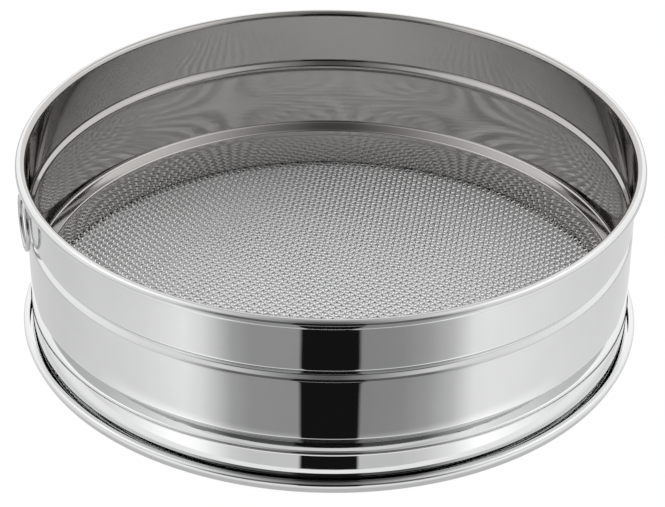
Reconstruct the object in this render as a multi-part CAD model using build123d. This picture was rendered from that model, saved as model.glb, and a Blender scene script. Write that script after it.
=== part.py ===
from build123d import *
import math
import os

# Tamis drum sieve of stainless steel sheet with a woven mesh bottom.
# Millimetres, +Z up. The origin is the centre of the circle that the sieve stands on.

# Overall size
rim_outer_radius = 150.0
overall_height = 92.2
sheet = 0.5

# Bends are drawn in a few straight steps, because each step runs round the whole drum
roll_steps = 7
foot_corner_steps = 2
wire_sides = 12

# Rolled rim, an open curl that ends just short of the wall
rim_roll_radius = 2.5
rim_roll_gap = 0.3

# Stiffening beads, pressed inwards all round. Heights are centres above the floor.
narrow_bead_centre = 61.0
narrow_bead_width = 7.6
narrow_bead_floor_width = 1.4
narrow_bead_depth = 2.2
wide_bead_centre = 22.9
wide_bead_width = 11.4
wide_bead_floor_width = 4.4
wide_bead_depth = 3.0

# Foot ring, a channel that carries the edge of the mesh. It reaches out as far as the rim.
foot_height = 6.1
foot_splay = 1.9
foot_corner_radius = 1.1
foot_lip_gap = 1.3
foot_web_overlap = 1.4

# Mesh and the flange that holds it down. Both edges are set back from the rim's reach.
mesh_thickness = 1.6
mesh_pitch = 22.0
mesh_bar_width = 2.2
mesh_turn_angle = -7.1
mesh_border = 1.0
mesh_least_gap_area = 12.0
mesh_edge_setback = 2.5
flange_edge_setback = 1.9

# Hanging ring and its strap
ring_azimuth = 194.5
ring_mean_radius = 12.8
ring_wire_radius = 1.05
ring_standoff = 2.6
ring_pivot_drop = 7.9
strap_width = 6.0
strap_sheet = 0.4
strap_eye_clearance = 0.5
strap_length = 11.5
strap_leg_length = 7.5

# Sizes that follow from the ones above
wall_inner_radius = rim_outer_radius - 2 * rim_roll_radius
wall_outer_radius = wall_inner_radius + sheet
rim_core_radius = rim_outer_radius - rim_roll_radius
rim_core_height = overall_height - rim_roll_radius
mesh_bottom = sheet
mesh_top = mesh_bottom + mesh_thickness
pivot_radius = wall_outer_radius + ring_standoff
pivot_height = overall_height - ring_pivot_drop


def arc_points(centre, radius, start, turn, steps):
    """Points of a bend, from an angle in degrees and over a turn, anticlockwise if positive."""
    angles = [math.radians(start + turn * step / steps) for step in range(steps + 1)]
    return [(centre[0] + radius * math.cos(a), centre[1] + radius * math.sin(a)) for a in angles]


def bead_points(centre, width, floor_width, depth):
    """Groove in the outer skin, from its upper edge to its lower edge."""
    floor_radius = wall_outer_radius - depth
    return [
        (wall_outer_radius, centre + width / 2),
        (floor_radius, centre + floor_width / 2),
        (floor_radius, centre - floor_width / 2),
        (wall_outer_radius, centre - width / 2),
    ]


def shifted(first, last):
    """A line's two points moved one sheet to the right of its direction."""
    run = math.dist(first, last)
    across_x = sheet * (last[1] - first[1]) / run
    across_y = sheet * (first[0] - last[0]) / run
    return Vector(first[0] + across_x, first[1] + across_y), Vector(last[0] + across_x, last[1] + across_y)


def crossing(line_a, line_b):
    """Point where two lines meet, each given by two points."""
    run_a = line_a[1] - line_a[0]
    run_b = line_b[1] - line_b[0]
    apart = line_b[0] - line_a[0]
    share = (apart.X * run_b.Y - apart.Y * run_b.X) / (run_a.X * run_b.Y - run_a.Y * run_b.X)
    return line_a[0] + run_a * share


def sheet_hoop(points):
    """Hoop of bent sheet round Z: one skin is given, the other lies one sheet to its right."""
    lines = [shifted(first, last) for first, last in zip(points, points[1:])]
    corners = [crossing(line_a, line_b) for line_a, line_b in zip(lines, lines[1:])]
    other_skin = [lines[0][0], *corners, lines[-1][1]]
    outline = [*points, *[(corner.X, corner.Y) for corner in reversed(other_skin)]]
    return revolve(Plane.XZ * make_face(Polyline(*outline, close=True).edges()), Axis.Z)


def make_drum_wall():
    """One sheet: rolled rim, wall with two beads, and flange on the mesh."""
    roll_end_reach = rim_core_radius - wall_outer_radius - rim_roll_gap
    roll_turn = 180 + math.degrees(math.acos(-roll_end_reach / rim_roll_radius))
    core = (rim_core_radius, rim_core_height)
    roll = arc_points(core, rim_roll_radius - sheet, 180 - roll_turn, roll_turn, roll_steps)
    narrow_bead = bead_points(
        narrow_bead_centre, narrow_bead_width, narrow_bead_floor_width, narrow_bead_depth
    )
    wide_bead = bead_points(wide_bead_centre, wide_bead_width, wide_bead_floor_width, wide_bead_depth)
    flange_top = mesh_top + sheet
    flange = [(wall_outer_radius, flange_top), (rim_outer_radius - flange_edge_setback, flange_top)]
    return sheet_hoop([*roll, *narrow_bead, *wide_bead, *flange])


def make_foot_ring():
    """Channel below the mesh: lip turned in, splayed side and flat web."""
    corner_centre = (rim_outer_radius - foot_corner_radius, foot_height - foot_corner_radius)
    corner = arc_points(corner_centre, foot_corner_radius, 90, -90, foot_corner_steps)
    lip_end = (wall_outer_radius + foot_lip_gap, foot_height)
    web = [(rim_outer_radius - foot_splay, 0), (wall_inner_radius - foot_web_overlap, 0)]
    return sheet_hoop([lip_end, *corner, *web])


def mesh_gaps(net_radius):
    """Square gaps of the mesh, those at the edge cut off by the round border."""
    gap = mesh_pitch - mesh_bar_width
    border = Circle(net_radius)
    steps = math.ceil(net_radius / mesh_pitch)
    gaps = []
    for column in range(-steps, steps + 1):
        for row in range(-steps, steps + 1):
            square = Pos(column * mesh_pitch, row * mesh_pitch) * Rectangle(gap, gap)
            far_corner = math.hypot(abs(column) * mesh_pitch + gap / 2, abs(row) * mesh_pitch + gap / 2)
            inside = square if far_corner < net_radius else square & border
            gaps += [face.outer_wire() for face in inside.faces() if face.area > mesh_least_gap_area]
    return gaps


def make_mesh():
    """Flat net with square gaps; its edge lies between drum and foot ring."""
    gaps = mesh_gaps(wall_inner_radius - foot_web_overlap - mesh_border)
    net = Face(Wire.make_circle(rim_outer_radius - mesh_edge_setback), gaps)
    body = extrude(net, mesh_thickness, dir=(0, 0, 1))
    return Pos(0, 0, mesh_bottom) * Rot(0, 0, mesh_turn_angle) * body


def make_ring_strap():
    """Strip folded over the ring's wire; both legs lie on the wall."""
    eye_outer_radius = ring_wire_radius + strap_eye_clearance + strap_sheet
    strap_bottom = pivot_height - strap_length
    leg_top = strap_bottom + strap_leg_length
    leg_outer_radius = wall_outer_radius + 2 * strap_sheet
    eye = CenterArc((pivot_radius, pivot_height), eye_outer_radius, 0, 360)
    legs_end = Line((wall_outer_radius, leg_top), (leg_outer_radius, leg_top))
    fold = make_hull([*eye.edges(), *legs_end.edges()])
    fold = fold - offset(fold, -strap_sheet)
    legs = Polyline(
        (wall_outer_radius, strap_bottom),
        (leg_outer_radius, strap_bottom),
        (leg_outer_radius, leg_top),
        (wall_outer_radius, leg_top),
        close=True,
    )
    section = Plane.XZ * (fold + make_face(legs.edges()))
    width_angle = math.degrees(strap_width / pivot_radius)
    strap = revolve(section, Axis.Z, revolution_arc=width_angle)
    return Rot(0, 0, ring_azimuth - width_angle / 2) * strap


def make_hanging_ring():
    """Closed ring of round wire, hanging straight down, its curve centred in the strap's eye."""
    wire_drop = ring_mean_radius - math.sqrt(ring_mean_radius**2 - (strap_width / 2) ** 2)
    ring_centre_height = pivot_height + wire_drop / 2 - ring_mean_radius
    wire = Pos(ring_mean_radius, 0) * RegularPolygon(ring_wire_radius, wire_sides)
    ring = Rot(0, 0, 90) * revolve(wire, Axis.Y)
    return Rot(0, 0, ring_azimuth) * Pos(pivot_radius, 0, ring_centre_height) * ring


nodes = {
    "drum_wall": make_drum_wall(),
    "mesh": make_mesh(),
    "foot_ring": make_foot_ring(),
    "ring_strap": make_ring_strap(),
    "hanging_ring": make_hanging_ring(),
}

os.makedirs("parts", exist_ok=True)
for name, shape in nodes.items():
    export_step(shape, f"parts/{name}.step")
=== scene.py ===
import math
import bmesh
import bpy
import numpy as np
from mathutils import Matrix, Vector


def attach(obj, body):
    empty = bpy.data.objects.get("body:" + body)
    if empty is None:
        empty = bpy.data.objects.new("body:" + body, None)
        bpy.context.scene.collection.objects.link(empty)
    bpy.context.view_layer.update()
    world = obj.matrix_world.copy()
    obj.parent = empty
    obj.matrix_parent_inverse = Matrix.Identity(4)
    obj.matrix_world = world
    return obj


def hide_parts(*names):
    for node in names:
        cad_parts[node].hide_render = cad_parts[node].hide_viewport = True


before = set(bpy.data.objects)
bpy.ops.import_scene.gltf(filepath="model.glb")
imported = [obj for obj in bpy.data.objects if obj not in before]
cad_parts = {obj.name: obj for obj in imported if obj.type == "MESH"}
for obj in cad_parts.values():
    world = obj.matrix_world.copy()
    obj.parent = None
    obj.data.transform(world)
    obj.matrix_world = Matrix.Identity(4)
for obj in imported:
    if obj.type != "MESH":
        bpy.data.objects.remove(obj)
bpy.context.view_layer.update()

MM = 0.001

# Sizes of the sieve in millimetres. Radii are from its axis, heights from the floor.
SHEET = 0.5
RIM_R = 150.0
ROLL_R = 2.5
ROLL_GAP = 0.3
ROLL_STEPS = 64
CORE_R = 147.5
CORE_Z = 89.7
WALL_OUT = 145.5
FLANGE_R = 148.1
FLANGE_BEND = 0.15
MESH_LOW = 0.5
MESH_TOP = 2.1

# Foot ring: lip turned in, side that is upright above and splayed below, flat web
FOOT_H = 6.1
FOOT_LIP_R = 147.1
FOOT_CORNER = 1.5
FOOT_UPRIGHT = 3.7
FOOT_SIDE_BEND = 2.0
FOOT_BASE_R = 148.3
FOOT_BEND = 0.8
FOOT_WEB_R = 143.6

# Beads: centre, width, flat of the valley, flank angle, radii of the upper edge, of the valley's
# corners and of the lower edge, bulge of the wall below the bead
BEADS = [
    (23.32, 9.77, 1.53, 69.95, 2.2, 0.63, 1.49, 0.5),
    (61.16, 7.96, 0.0, 44.2, 2.97, 1.23, 2.97, 0.0),
]
BULGE_ANGLE = 19.7
BULGE_BEND = 3.8

# Hanging ring and strap
RING_AZIMUTH = 194.5
PIVOT_R = 148.1
PIVOT_Z = 84.3
RING_MEAN_R = 12.8
WIRE_R = 1.05
STRAP_W = 6.0
STRAP_T = 0.4
STRAP_EDGE = 0.09
STRAP_TIP_HALF_W = 0.35
EYE_R = 1.95
STRAP_LOW = 72.8
STRAP_LEG_TOP = 80.3
STRAP_BEND = 1.2
WELD_R = 1.15
WELD_DEPTH = 0.13
WELD_ABOVE_TIP = 3.4

# Mesh cloth
CLOTH_PITCHES = (2.50, 2.69)
CLOTH_WIRE_R = 0.4
CLOTH_WIRE_WIDTH = 1.24
CLOTH_TURN = -7.1
CLOTH_R = 147.0
CLOTH_WIRE_SIDES = 6
CLOTH_STEPS_PER_PITCH = 3

# Camera, fitted to the photograph
CAMERA_DISTANCE = 1279.9
CAMERA_ELEVATION = 31.874
CAMERA_ROLL = 0.0138
CAMERA_AIM = (1.2265, 0.0, 33.89)
FOCAL_PIXELS = 2623.4
PICTURE_WIDTH = 665
SENSOR_WIDTH = 36.0

# Floor: the share and the strength of its glow, each as two radii and the values there; the share drops under
# the sieve and the strength in mirrors drops beside the foot, both as painted shadow
FLOOR_R = 6000.0
FLOOR_TONE = 0.9
GLOW_SHARE_WITH_PAINTED_SHADOW = (142.0, 149.0, 0.18, 0.95)
GLOW_MIRRORED_WITH_PAINTED_SHADOW = (150.0, 157.0, 0.6, 1.05)
GLOW_SEEN = 1.03

# Card round the sieve: inner radius, end of its lit part, outer radius of its dim part
CARD_RADII = (159.6, 790.0, 5800.0)
CARD_HEIGHT = 0.4
CARD_STEPS = 96
CARD_FAR = 0.45
# Its grey by degrees round a point in front of the axis, 0 towards the camera
CARD_CENTRE_Y = -80.0
CARD_GREYS = [
    (-180, 0.35), (-165, 0.5), (-140, 0.72), (-100, 0.74), (-70, 0.86), (-53, 1.0), (-47, 0.88),
    (-42, 0.68), (-36, 0.43), (-29, 0.34), (-11.0, 0.33), (-10.6, 0.008), (11.8, 0.008),
    (12.2, 0.28), (28, 0.31), (37, 0.4), (46, 0.6), (54, 0.96), (60, 1.0), (75, 0.93),
    (105, 0.8), (140, 0.78), (165, 0.5), (180, 0.35),
]
# What is added close to the sieve, and at which degrees
CARD_CLOSE = (186.0, 172.0, 0.0, 0.36)
CARD_CLOSE_SHARES = [
    (-85, 0.0), (-58, 1.0), (-11.0, 1.0), (-10.6, 0.0), (11.8, 0.0), (12.2, 1.0), (58, 1.0), (85, 0.0),
]

# A ramp holds no more than 1, so the sky's ramps hold shares of its brightest value
SKY_TOP = 1.25
# Sky by how far to the side it lies: dim in the middle, with large soft lights left and right
SKY_SIDE = [(0.0, 0.2), (0.07, 0.23), (0.28, 0.66), (0.5, 1.2), (0.8, 1.25), (1.0, 1.15)]
# Low sky by half turns from the front: nearly black in the middle in front, bright behind
SKY_LOW = [(0.0, 0.01), (0.066, 0.01), (0.075, 0.12), (0.2, 0.16), (0.3, 0.8), (0.6, 1.05), (1.0, 1.2)]
SKY_LOW_END = (0.60, 0.72, 0.0, 1.0)
SKY_FRONT_SHARE = (-0.6, 0.15, 0.65, 1.0)
SKY_BEHIND = (-0.25, 0.4, 0.0, 0.25)

# Steel
SHEET_TONE = (0.748, 0.75, 0.753)
# Colour of the wall's inner faces: darker than the outside, as painted shade
INNER_PAINTED_SHADE_TONE = (0.51, 0.497, 0.485)
INNER_DULLER = 0.03
RING_TONE = (0.6, 0.602, 0.607)
CLOTH_TONE = (0.95, 0.952, 0.957)
WALL_ROUGHNESS = (0.02, 0.05)
FOOT_ROUGHNESS = (0.06, 0.12)
RING_ROUGHNESS = (0.1, 0.2)
CLOTH_ROUGHNESS = (0.3, 0.4)
# Fine lines round the drum: density, stretch along the lines, strength and depth in metres
SHEET_LINES = 4000.0
CLOTH_LINES = 800.0
LINE_STRETCH = 0.15
LINE_DETAIL = 3.0
SHEET_BUMP = 0.02
LINE_DEPTH = 0.0001
# Smudges: scale, detail and roughness of their noise, and the part of it that roughness follows
SMUDGE_NOISE = (22.0, 5.0, 0.6)
SMUDGE_SPAN = (0.35, 0.7)
CLOUD_CONTRAST = 1.6
TONE_SPREAD = (0.955, 1.045)
# Unevenness of the sheet: scale and detail of its noise, and depth in metres
SWELL_NOISE = (14.0, 1.0)
SWELL_DEPTH = 0.0004

# Fineness of the meshes
LATHE_STEPS = 512
LONGEST_SIDE = 6.0
BEND_STEP = 5.0
RING_STEPS = 160
RING_SIDES = 24
STRAP_COLUMNS = 15
STRAP_LEG_ROWS = 28
STRAP_EYE_ROWS = 48
STRAP_BEND_ROWS = 9


def make_camera():
    """Camera in front of the sieve and above it."""
    elevation = math.radians(CAMERA_ELEVATION)
    aim = Vector(CAMERA_AIM) * MM
    back = Vector((0, -math.cos(elevation), math.sin(elevation)))
    cam = bpy.data.cameras.new("camera")
    cam.sensor_fit = "HORIZONTAL"
    cam.sensor_width = SENSOR_WIDTH
    cam.lens = FOCAL_PIXELS / PICTURE_WIDTH * SENSOR_WIDTH
    cam.clip_start = 0.05
    cam.clip_end = 50
    obj = bpy.data.objects.new("camera", cam)
    obj.location = aim + back * CAMERA_DISTANCE * MM
    turn = back.to_track_quat("Z", "Y").to_matrix() @ Matrix.Rotation(CAMERA_ROLL, 3, "Z")
    obj.rotation_euler = turn.to_euler()
    bpy.context.scene.collection.objects.link(obj)
    bpy.context.scene.camera = obj


# Node helpers
def new_material(name):
    mat = bpy.data.materials.new(name)
    mat.use_nodes = True
    tree = mat.node_tree
    tree.nodes.clear()
    return mat, tree


def node(tree, kind, **values):
    """New node, with its properties or input values set by name."""
    n = tree.nodes.new(kind)
    for key, value in values.items():
        if hasattr(n, key):
            setattr(n, key, value)
        else:
            n.inputs[key].default_value = value
    return n


def plug(tree, value, socket):
    """Link an output to a socket, or set the socket to a constant."""
    if isinstance(value, bpy.types.NodeSocket):
        tree.links.new(value, socket)
    else:
        socket.default_value = value


def calc(tree, operation, *values):
    n = node(tree, "ShaderNodeMath", operation=operation)
    for value, socket in zip(values, n.inputs):
        plug(tree, value, socket)
    return n.outputs[0]


def vector_calc(tree, operation, *values):
    n = node(tree, "ShaderNodeVectorMath", operation=operation)
    for value, socket in zip(values, n.inputs):
        plug(tree, value, socket)
    return n.outputs["Value"]


def split(tree, vector):
    n = node(tree, "ShaderNodeSeparateXYZ")
    plug(tree, vector, n.inputs[0])
    return n.outputs


def join(tree, *parts):
    n = node(tree, "ShaderNodeCombineXYZ")
    for part, socket in zip(parts, n.inputs):
        plug(tree, part, socket)
    return n.outputs[0]


def map_range(tree, value, low, high, to_low, to_high, kind="LINEAR"):
    n = node(tree, "ShaderNodeMapRange", interpolation_type=kind)
    plug(tree, value, n.inputs["Value"])
    for name, number in (("From Min", low), ("From Max", high), ("To Min", to_low), ("To Max", to_high)):
        n.inputs[name].default_value = number
    return n.outputs[0]


def mix_values(tree, factor, a, b):
    n = node(tree, "ShaderNodeMix")
    for value, index in ((factor, 0), (a, 2), (b, 3)):
        plug(tree, value, n.inputs[index])
    return n.outputs[0]


def mix_colours(tree, factor, a, b, blend_type="MIX"):
    n = node(tree, "ShaderNodeMix", data_type="RGBA", blend_type=blend_type)
    for value, index in ((factor, 0), (a, 6), (b, 7)):
        plug(tree, value, n.inputs[index])
    return n.outputs[2]


def noise(tree, vector, scale, detail, roughness=0.5):
    n = node(tree, "ShaderNodeTexNoise", Scale=scale, Detail=detail, Roughness=roughness)
    plug(tree, vector, n.inputs["Vector"])
    return n.outputs[0]


def bump_normal(tree, height, strength, distance, normal=None):
    n = node(tree, "ShaderNodeBump", Strength=strength, Distance=distance)
    plug(tree, height, n.inputs["Height"])
    if normal:
        plug(tree, normal, n.inputs["Normal"])
    return n.outputs[0]


def grey_ramp(tree, place, stops, top=1.0):
    """Ramp through pairs of place and grey, the greys as shares of the top value."""
    n = node(tree, "ShaderNodeValToRGB")
    plug(tree, place, n.inputs[0])
    elements = n.color_ramp.elements
    while len(elements) < len(stops):
        elements.new(0.5)
    for element, (at, value) in zip(elements, stops):
        element.position = at
        element.color = (value / top, value / top, value / top, 1)
    return n.outputs[0]


def emission(tree, strength):
    n = node(tree, "ShaderNodeEmission", Color=(1, 1, 1, 1))
    plug(tree, strength, n.inputs["Strength"])
    return n.outputs[0]


# Studio
def stage_object(name, bm):
    me = bpy.data.meshes.new(name)
    bm.to_mesh(me)
    bm.free()
    obj = bpy.data.objects.new(name, me)
    bpy.context.scene.collection.objects.link(obj)
    return obj


def radii_in_metres(span):
    """From two radii in millimetres and two values to the same with radii in metres."""
    return span[0] * MM, span[1] * MM, span[2], span[3]


def make_floor():
    """Pale floor that keeps the sieve's shadow and glows outside it, for the camera and in mirrors; its glow
    is lowered under the sieve, and in mirrors beside the foot, as painted shadow.
    """
    bm = bmesh.new()
    bmesh.ops.create_circle(bm, cap_ends=True, segments=96, radius=FLOOR_R * MM)
    obj = stage_object("floor", bm)
    mat, tree = new_material("floor_white")
    out = node(tree, "ShaderNodeOutputMaterial")
    rays = node(tree, "ShaderNodeLightPath").outputs
    seen = calc(tree, "ADD", rays["Is Camera Ray"], rays["Is Glossy Ray"])
    seen = calc(tree, "MINIMUM", calc(tree, "ADD", seen, rays["Is Transmission Ray"]), 1.0)
    spot = vector_calc(tree, "LENGTH", node(tree, "ShaderNodeTexCoord").outputs["Object"])
    # painted shadow: the glow's share drops under the sieve, leaving mostly the diffuse floor there
    share = map_range(tree, spot, *radii_in_metres(GLOW_SHARE_WITH_PAINTED_SHADOW), "SMOOTHSTEP")
    # painted shadow: in mirrors the glow is weaker close beside the foot
    mirrored_with_painted_shadow = map_range(tree, spot, *radii_in_metres(GLOW_MIRRORED_WITH_PAINTED_SHADOW))
    glow = emission(tree, mix_values(tree, rays["Is Camera Ray"], mirrored_with_painted_shadow, GLOW_SEEN))
    diffuse = node(tree, "ShaderNodeBsdfDiffuse", Color=(FLOOR_TONE, FLOOR_TONE, FLOOR_TONE, 1))
    mix = node(tree, "ShaderNodeMixShader")
    for value, socket in zip((calc(tree, "MULTIPLY", seen, share), diffuse.outputs[0], glow), mix.inputs):
        plug(tree, value, socket)
    plug(tree, mix.outputs[0], out.inputs[0])
    obj.data.materials.append(mat)


def make_card():
    """Card on the floor round the sieve, unseen by the camera; it has a dark strip in front."""
    bm = bmesh.new()
    rows = []
    for i in range(CARD_STEPS):
        a = 2 * math.pi * i / CARD_STEPS
        rows.append([
            bm.verts.new((r * MM * math.cos(a), r * MM * math.sin(a), CARD_HEIGHT * MM)) for r in CARD_RADII
        ])
    for a, b in zip(rows, rows[1:] + rows[:1]):
        bm.faces.new((a[0], a[1], b[1], b[0]))
        bm.faces.new((a[1], a[2], b[2], b[1])).material_index = 1
    obj = stage_object("front_card", bm)

    lit, tree = new_material("front_card")
    out = node(tree, "ShaderNodeOutputMaterial")
    place = node(tree, "ShaderNodeTexCoord").outputs["Object"]
    x, y, z = split(tree, place)
    angle = calc(tree, "ARCTAN2", x, calc(tree, "SUBTRACT", CARD_CENTRE_Y * MM, y))
    turn = calc(tree, "ADD", calc(tree, "MULTIPLY", angle, 0.5 / math.pi), 0.5)
    grey = grey_ramp(tree, turn, [(0.5 + deg / 360, value) for deg, value in CARD_GREYS])
    close = map_range(tree, vector_calc(tree, "LENGTH", place), *radii_in_metres(CARD_CLOSE), "SMOOTHSTEP")
    close_share = grey_ramp(tree, turn, [(0.5 + deg / 360, value) for deg, value in CARD_CLOSE_SHARES])
    extra = calc(tree, "MULTIPLY", close, close_share)
    plug(tree, emission(tree, calc(tree, "ADD", grey, extra)), out.inputs[0])

    dim, tree = new_material("far_card")
    out = node(tree, "ShaderNodeOutputMaterial")
    plug(tree, emission(tree, CARD_FAR), out.inputs[0])

    for mat in (lit, dim):
        obj.data.materials.append(mat)
    obj.visible_camera = False
    obj.visible_diffuse = False
    obj.visible_shadow = False


def make_world():
    """Soft studio sky, white where the camera sees it."""
    world = bpy.data.worlds.new("studio")
    bpy.context.scene.world = world
    world.use_nodes = True
    tree = world.node_tree
    tree.nodes.clear()
    out = node(tree, "ShaderNodeOutputWorld")
    x, y, z = split(tree, node(tree, "ShaderNodeTexCoord").outputs["Generated"])
    aside = calc(tree, "ABSOLUTE", x)
    side = grey_ramp(tree, aside, SKY_SIDE, SKY_TOP)
    around = calc(tree, "ARCTAN2", aside, calc(tree, "MULTIPLY", y, -1.0))
    low = grey_ramp(tree, calc(tree, "DIVIDE", around, math.pi), SKY_LOW, SKY_TOP)
    # above, the sky is dimmer in front and lighter behind
    front_share = map_range(tree, y, *SKY_FRONT_SHARE, "SMOOTHSTEP")
    start, end, to_start, to_end = SKY_BEHIND
    behind = map_range(tree, y, start, end, to_start, to_end / SKY_TOP)
    above = mix_colours(tree, 1.0, calc(tree, "MULTIPLY", side, front_share), behind, "ADD")
    sky = mix_colours(tree, map_range(tree, z, *SKY_LOW_END), low, above)
    seen = node(tree, "ShaderNodeLightPath").outputs["Is Camera Ray"]
    colour = mix_colours(tree, seen, sky, (1 / SKY_TOP, 1 / SKY_TOP, 1 / SKY_TOP, 1))
    background = node(tree, "ShaderNodeBackground", Strength=SKY_TOP)
    plug(tree, colour, background.inputs[0])
    plug(tree, background.outputs[0], out.inputs[0])


# Materials
def steel(name, tone, roughness, line_scale, bump, painted_shade_tone=None):
    """Steel with fine lines round the drum, soft clouds and a slightly uneven sheet.

    With a painted shade tone, the faces that look towards the axis take that darker colour as painted shade,
    and are duller.
    """
    mat, tree = new_material(name)
    out = node(tree, "ShaderNodeOutputMaterial")
    bsdf = node(tree, "ShaderNodeBsdfPrincipled", Metallic=1.0)
    plug(tree, bsdf.outputs[0], out.inputs[0])
    place = node(tree, "ShaderNodeTexCoord").outputs["Object"]
    x, y, z = split(tree, place)
    radius = calc(tree, "SQRT", calc(tree, "ADD", calc(tree, "MULTIPLY", x, x), calc(tree, "MULTIPLY", y, y)))
    drawn_out = join(
        tree,
        calc(tree, "MULTIPLY", calc(tree, "ARCTAN2", y, x), LINE_STRETCH),
        calc(tree, "MULTIPLY", radius, line_scale),
        calc(tree, "MULTIPLY", z, line_scale),
    )
    lines = noise(tree, drawn_out, 1.0, LINE_DETAIL)
    smudge = noise(tree, place, *SMUDGE_NOISE)
    cloud = calc(tree, "MULTIPLY", calc(tree, "SUBTRACT", smudge, 0.5), CLOUD_CONTRAST)
    darker, lighter = [(*[min(1, c * share) for c in tone], 1) for share in TONE_SPREAD]
    colour = mix_colours(tree, calc(tree, "ADD", lines, cloud), darker, lighter)
    rough = map_range(tree, smudge, *SMUDGE_SPAN, *roughness)
    if painted_shade_tone:
        facing = node(tree, "ShaderNodeNewGeometry").outputs["Normal"]
        inner = calc(tree, "LESS_THAN", vector_calc(tree, "DOT_PRODUCT", facing, join(tree, x, y)), 0.0)
        # painted shade: faces towards the axis take the darker inner colour
        colour = mix_colours(tree, inner, colour, (*painted_shade_tone, 1))
        rough = calc(tree, "ADD", rough, calc(tree, "MULTIPLY", inner, INNER_DULLER))
    plug(tree, colour, bsdf.inputs["Base Color"])
    plug(tree, rough, bsdf.inputs["Roughness"])
    if bump:
        # the sheet is not quite even, so what it mirrors is a little bent
        swell = bump_normal(tree, noise(tree, place, *SWELL_NOISE), 1.0, SWELL_DEPTH)
        plug(tree, bump_normal(tree, lines, bump, LINE_DEPTH, swell), bsdf.inputs["Normal"])
    return mat


# Mesh helpers
def add_object(name, verts, faces, mat, smooth_angle, outward=False):
    """New smooth object; edges above the angle are sharp, and normals can be turned outwards."""
    me = bpy.data.meshes.new(name)
    me.from_pydata([tuple(v) for v in verts], [], faces)
    me.update()
    me.polygons.foreach_set("use_smooth", [True] * len(me.polygons))
    if outward:
        bm = bmesh.new()
        bm.from_mesh(me)
        bmesh.ops.recalc_face_normals(bm, faces=bm.faces)
        bm.to_mesh(me)
        bm.free()
    me.set_sharp_from_angle(angle=math.radians(smooth_angle))
    me.materials.append(mat)
    obj = bpy.data.objects.new(name, me)
    bpy.context.scene.collection.objects.link(obj)
    return obj


def tube_faces(rows, sides, closed):
    """Faces between rows of vertices, each row a closed loop; the last may join the first."""
    faces = []
    for i in range(rows if closed else rows - 1):
        a, b = i * sides, (i + 1) % rows * sides
        for k in range(sides):
            m = (k + 1) % sides
            faces.append((a + k, a + m, b + m, b + k))
    return faces


def rounded_path(points, radii):
    """Points along a line with rounded corners, and the unit normals to its right."""
    path = []

    def put(p, d):
        path.append((p[0], p[1], d[1], -d[0]))

    pts = [np.array(p, float) for p in points]
    dirs = [(b - a) / np.linalg.norm(b - a) for a, b in zip(pts, pts[1:])]
    put(pts[0], dirs[0])
    for i, r in enumerate(radii):
        a, b = dirs[i], dirs[i + 1]
        cross = a[0] * b[1] - a[1] * b[0]
        turn = math.atan2(cross, float(a @ b))
        reach = r * math.tan(abs(turn) / 2)
        start = pts[i + 1] - a * reach
        side = math.copysign(1.0, turn)
        centre = start + r * side * np.array([-a[1], a[0]])
        n = max(2, math.ceil(abs(math.degrees(turn)) / BEND_STEP))
        for k in range(n + 1):
            ang = turn * k / n
            c, s = math.cos(ang), math.sin(ang)
            d = np.array([a[0] * c - a[1] * s, a[0] * s + a[1] * c])
            p = centre - r * side * np.array([-d[1], d[0]])
            put(p, d)
    put(pts[-1], dirs[-1])
    return path


def thicken(path, thickness):
    """Closed outline of a bent sheet from one skin with its normals."""
    skin = [(p[0], p[1]) for p in path]
    back = [(p[0] + p[2] * thickness, p[1] + p[3] * thickness) for p in path]
    return skin + back[::-1]


def split_long(outline):
    """Closed outline with its long sides split evenly."""
    out = []
    for a, b in zip(outline, outline[1:] + outline[:1]):
        n = max(1, math.ceil(math.dist(a, b) / LONGEST_SIDE))
        for k in range(n):
            out.append((a[0] + (b[0] - a[0]) * k / n, a[1] + (b[1] - a[1]) * k / n))
    return out


def lathe(name, outline, mat):
    """Hoop with the given section of radii and heights."""
    outline = split_long(outline)
    angles = [2 * math.pi * i / LATHE_STEPS for i in range(LATHE_STEPS)]
    verts = [(r * math.cos(a) * MM, r * math.sin(a) * MM, z * MM) for a in angles for r, z in outline]
    return add_object(name, verts, tube_faces(LATHE_STEPS, len(outline), True), mat, 35.0, outward=True)


# Pieces
def wall_outline():
    """One sheet from the rolled rim over wall and beads to the flange."""
    points = [(WALL_OUT, CORE_Z)]
    radii = []
    for centre, width, flat, flank, edge, corner, low_edge, bulge in reversed(BEADS):
        f = math.radians(flank)
        reach = width / 2 - edge * math.tan(f / 2)
        inner = flat / 2 + corner * math.tan(f / 2)
        deep = WALL_OUT - (reach - inner) * math.tan(f)
        points += [(WALL_OUT, centre + reach), (deep, centre + inner), (deep, centre - inner)]
        radii += [edge, corner, corner, low_edge]
        if bulge:
            fall = bulge / math.tan(math.radians(BULGE_ANGLE))
            points.append((WALL_OUT + bulge, centre - reach - bulge / math.tan(f)))
            points.append((WALL_OUT, centre - reach - fall))
            radii.append(BULGE_BEND)
        else:
            points.append((WALL_OUT, centre - reach))
    points += [(WALL_OUT, MESH_TOP + SHEET), (FLANGE_R, MESH_TOP + SHEET)]
    radii.append(FLANGE_BEND)
    # the roll continues upwards from the path's start
    end_reach = CORE_R - WALL_OUT - ROLL_GAP
    turn = 180 + math.degrees(math.acos(-end_reach / ROLL_R))
    roll = []
    for k in range(ROLL_STEPS, 0, -1):
        a = math.radians(180 - turn * k / ROLL_STEPS)
        c, s = math.cos(a), math.sin(a)
        roll.append((CORE_R + (ROLL_R - SHEET) * c, CORE_Z + (ROLL_R - SHEET) * s, c, s))
    return thicken(roll + rounded_path(points, radii), SHEET)


def foot_outline():
    """Bent sheet from the end of the lip over the side to the end of the web."""
    points = [
        (FOOT_LIP_R, FOOT_H),
        (RIM_R, FOOT_H),
        (RIM_R, FOOT_UPRIGHT),
        (FOOT_BASE_R, 0),
        (FOOT_WEB_R, 0),
    ]
    return thicken(rounded_path(points, [FOOT_CORNER, FOOT_SIDE_BEND, FOOT_BEND]), SHEET)


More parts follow.
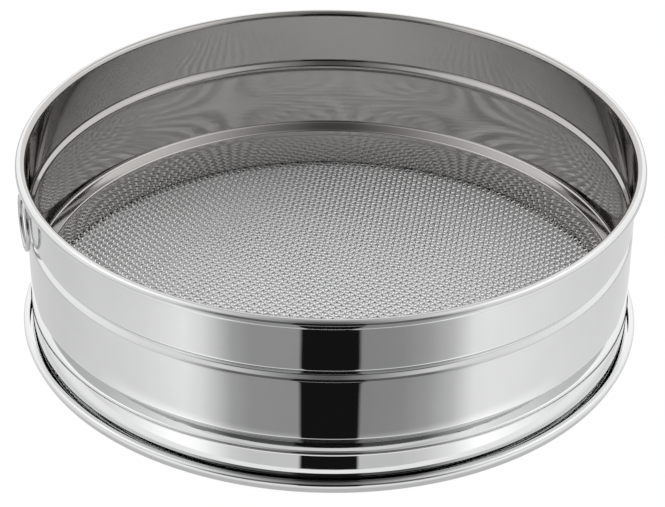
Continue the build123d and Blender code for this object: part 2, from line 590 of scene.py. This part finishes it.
def waved_wire(across, half, family, row):
    """Rows of vertices of one wire of the cloth, before the cloth is turned."""
    along = CLOTH_PITCHES[1 - family]
    step = along / CLOTH_STEPS_PER_PITCH
    n = int(half / step)
    t = np.arange(-n, n + 1) * step
    sign = (-1) ** (row + family)
    lift = CLOTH_WIRE_R * np.cos(math.pi * t / along) * sign
    slope = -CLOTH_WIRE_R * math.pi / along * np.sin(math.pi * t / along) * sign
    norm = np.sqrt(1 + slope ** 2)
    rows = np.zeros((t.size, CLOTH_WIRE_SIDES, 3))
    for k in range(CLOTH_WIRE_SIDES):
        a = 2 * math.pi * k / CLOTH_WIRE_SIDES
        c, s = math.cos(a) * CLOTH_WIRE_WIDTH / 2, math.sin(a) * CLOTH_WIRE_R
        rows[:, k, 0] = t - s * slope / norm
        rows[:, k, 1] = across + c
        rows[:, k, 2] = (MESH_LOW + MESH_TOP) / 2 + lift + s / norm
    if family:
        rows = rows[:, :, [1, 0, 2]] * np.array([-1, 1, 1])
    return rows


def make_cloth(mat):
    """Plain-woven wire cloth: two sets of waved wires."""
    sides = CLOTH_WIRE_SIDES
    all_verts = []
    faces = []
    base = 0
    for family in (0, 1):
        spacing = CLOTH_PITCHES[family]
        count = int(CLOTH_R / spacing)
        for j in range(-count, count + 1):
            across = j * spacing
            rows = waved_wire(across, math.sqrt(CLOTH_R ** 2 - across ** 2), family, j)
            all_verts.append(rows.reshape(-1, 3))
            faces += [tuple(base + v for v in face) for face in tube_faces(len(rows), sides, False)]
            last = base + (len(rows) - 1) * sides
            faces.append(tuple(base + k for k in reversed(range(sides))))
            faces.append(tuple(last + k for k in range(sides)))
            base += len(rows) * sides
    v = np.concatenate(all_verts)
    turn = math.radians(CLOTH_TURN)
    c, s = math.cos(turn), math.sin(turn)
    v = np.stack([v[:, 0] * c - v[:, 1] * s, v[:, 0] * s + v[:, 1] * c, v[:, 2]], 1) * MM
    return add_object("wire_cloth", v.tolist(), faces, mat, 60.0)


def at_ring(tangential, radial, height):
    """From coordinates at the ring's azimuth to the frame, in metres."""
    a = math.radians(RING_AZIMUTH)
    c, s = math.cos(a), math.sin(a)
    return (radial * c - tangential * s) * MM, (radial * s + tangential * c) * MM, height * MM


def make_ring(mat):
    """Closed ring of round wire, hanging from the strap."""
    drop = RING_MEAN_R - math.sqrt(RING_MEAN_R ** 2 - (STRAP_W / 2) ** 2)
    centre_z = PIVOT_Z + drop / 2 - RING_MEAN_R
    verts = []
    for i in range(RING_STEPS):
        a = 2 * math.pi * i / RING_STEPS
        for k in range(RING_SIDES):
            b = 2 * math.pi * k / RING_SIDES
            r = RING_MEAN_R + WIRE_R * math.cos(b)
            verts.append(at_ring(r * math.sin(a), PIVOT_R + WIRE_R * math.sin(b), centre_z + r * math.cos(a)))
    return add_object("wire_ring", verts, tube_faces(RING_STEPS, RING_SIDES, True), mat, 60.0)


def strap_line():
    """Mid-line of the folded strip: up the wall, over the ring's wire and down again."""
    near, far, r = WALL_OUT + STRAP_T / 2, WALL_OUT + 1.5 * STRAP_T, EYE_R - STRAP_T / 2
    rise = PIVOT_Z - STRAP_LEG_TOP
    heading = []
    for x, side in ((near, 1), (far, -1)):
        heading.append(math.atan2(rise, PIVOT_R - x) + side * math.asin(r / math.hypot(PIVOT_R - x, rise)))
    turns = np.linspace(heading[0] + math.pi / 2, heading[1] - math.pi / 2, STRAP_EYE_ROWS)
    eye = [(PIVOT_R + r * math.cos(a), PIVOT_Z + r * math.sin(a)) for a in turns]
    corner = np.array([far, STRAP_LEG_TOP])
    start = corner + STRAP_BEND * np.array([math.cos(heading[1]), math.sin(heading[1])])
    end = corner - (0, STRAP_BEND)
    bend = [tuple((1 - t) ** 2 * start + 2 * t * (1 - t) * corner + t ** 2 * end)
            for t in np.linspace(0, 1, STRAP_BEND_ROWS)]
    up = [(near, z) for z in np.linspace(STRAP_LOW, STRAP_LEG_TOP, STRAP_LEG_ROWS)]
    down = [(far, z) for z in np.linspace(end[1], STRAP_LOW, STRAP_LEG_ROWS)[1:]]
    return np.array(up + eye + bend + down)


def make_strap(mat):
    """Folded strip with rounded ends and the dent of a spot weld."""
    line = strap_line()
    run = np.concatenate([[0], np.cumsum(np.linalg.norm(np.diff(line, axis=0), axis=1))])
    ahead = np.gradient(line, run, axis=0)
    ahead /= np.linalg.norm(ahead, axis=1)[:, None]
    half, thick = STRAP_W / 2, STRAP_T / 2
    columns = np.linspace(-1, 1, STRAP_COLUMNS)
    verts = []
    for (r, z), (dr, dz), s in zip(line, ahead, run):
        left = min(s, run[-1] - s)
        width = half
        if left < half:
            width = max(STRAP_TIP_HALF_W, math.sqrt(half ** 2 - (half - left) ** 2))
        flat, low = width - STRAP_EDGE, thick - STRAP_EDGE
        loop = [(c * flat, -thick) for c in columns] + [(width, -low), (width, low)]
        loop += [(c * flat, thick) for c in columns[::-1]] + [(-width, low), (-width, -low)]
        for t, n in loop:
            if n == -thick and s > run[-1] / 2:
                off_weld = math.hypot(t, z - STRAP_LOW - WELD_ABOVE_TIP) / WELD_R
                n += WELD_DEPTH * max(0.0, 1 - off_weld ** 4)
            radial, height = r + dz * n, z - dr * n
            a = math.radians(RING_AZIMUTH) + t / PIVOT_R
            verts.append((radial * math.cos(a) * MM, radial * math.sin(a) * MM, height * MM))
    sides = len(loop)
    faces = tube_faces(len(line), sides, False)
    faces.append(tuple(range(sides))[::-1])
    faces.append(tuple(range((len(line) - 1) * sides, len(line) * sides)))
    return add_object("strap", verts, faces, mat, 50.0, outward=True)


make_camera()
make_world()
make_floor()
make_card()

wall_steel = steel("wall_steel", SHEET_TONE, WALL_ROUGHNESS, SHEET_LINES, SHEET_BUMP, INNER_PAINTED_SHADE_TONE)
trim_steel = steel("trim_steel", SHEET_TONE, FOOT_ROUGHNESS, SHEET_LINES, SHEET_BUMP)
ring_steel = steel("ring_steel", RING_TONE, RING_ROUGHNESS, SHEET_LINES, SHEET_BUMP)
cloth_steel = steel("cloth_steel", CLOTH_TONE, CLOTH_ROUGHNESS, CLOTH_LINES, 0.0)

drum = lathe("drum", wall_outline(), wall_steel)
foot = lathe("foot", foot_outline(), trim_steel)
cloth = make_cloth(cloth_steel)
ring = make_ring(ring_steel)
strap = make_strap(ring_steel)
for piece, replaced, body, slot in (
    (drum, "drum_wall", "sieve", "polished_steel"),
    (foot, "foot_ring", "sieve", "polished_steel"),
    (cloth, "mesh", "sieve", "wire_steel"),
    (ring, "hanging_ring", "ring", "polished_steel"),
    (strap, "ring_strap", "sieve", "polished_steel"),
):
    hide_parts(replaced)
    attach(piece, body)

view = bpy.context.scene.view_settings
view.view_transform = "Standard"
